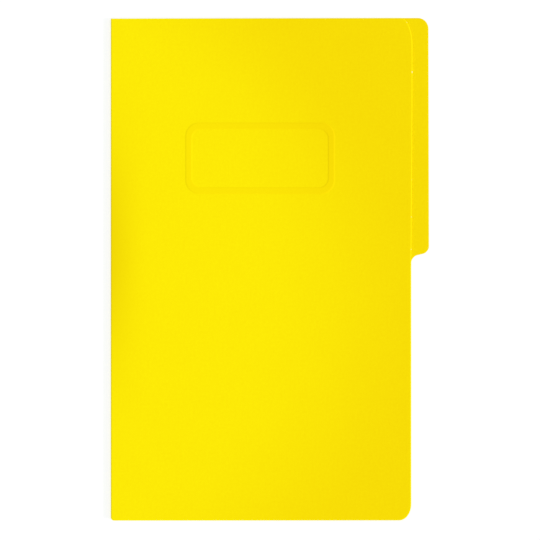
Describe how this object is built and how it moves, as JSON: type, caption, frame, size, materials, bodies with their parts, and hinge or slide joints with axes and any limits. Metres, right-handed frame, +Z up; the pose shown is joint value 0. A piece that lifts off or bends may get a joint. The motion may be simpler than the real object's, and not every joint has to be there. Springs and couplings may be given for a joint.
{
  "type": "fastener folder",
  "caption": "Flat pressboard folder with a creased spine, half-cut index tab, embossed title frame and a tinplate prong fastener inside, for holding punched sheets.",
  "frame": {"origin": "centre of the closed folder's bounding box, on the surface that the back cover lies on", "axes": "+Z up out of the front cover, +Y along the spine towards the folder's head, +X across the covers towards the tab"},
  "size_m": [0.235, 0.3714, 0.0047],
  "materials": {
    "pressboard": "calendered yellow pressboard, satin",
    "patch_board": "thin yellow board, matt",
    "tinplate": "bright tinplate, rolled"
  },
  "bodies": {
    "back": {"back_cover": "pressboard", "bond_patch": "patch_board", "fastener_strip": "tinplate", "compressor_bar": "tinplate"},
    "spine": {"spine_panel": "pressboard"},
    "front": {"front_cover": "pressboard"},
    "upper_lock": {"slider_upper": "tinplate"},
    "lower_lock": {"slider_lower": "tinplate"}
  },
  "joints": [
    {"name": "back_crease", "type": "hinge", "parent": "back", "child": "spine", "pos_m": [-0.11747, 0, 0], "axis": [0, -1, 0], "range_deg": [0, 90]},
    {"name": "front_crease", "type": "hinge", "parent": "spine", "child": "front", "pos_m": [-0.11747, 0, 0.00469], "axis": [0, -1, 0], "range_deg": [0, 90]},
    {"name": "upper_lock_slide", "type": "slide", "parent": "back", "child": "upper_lock", "axis": [0, 1, 0], "range_m": [0, 0.02]},
    {"name": "lower_lock_slide", "type": "slide", "parent": "back", "child": "lower_lock", "axis": [0, -1, 0], "range_m": [0, 0.02]}
  ]
}
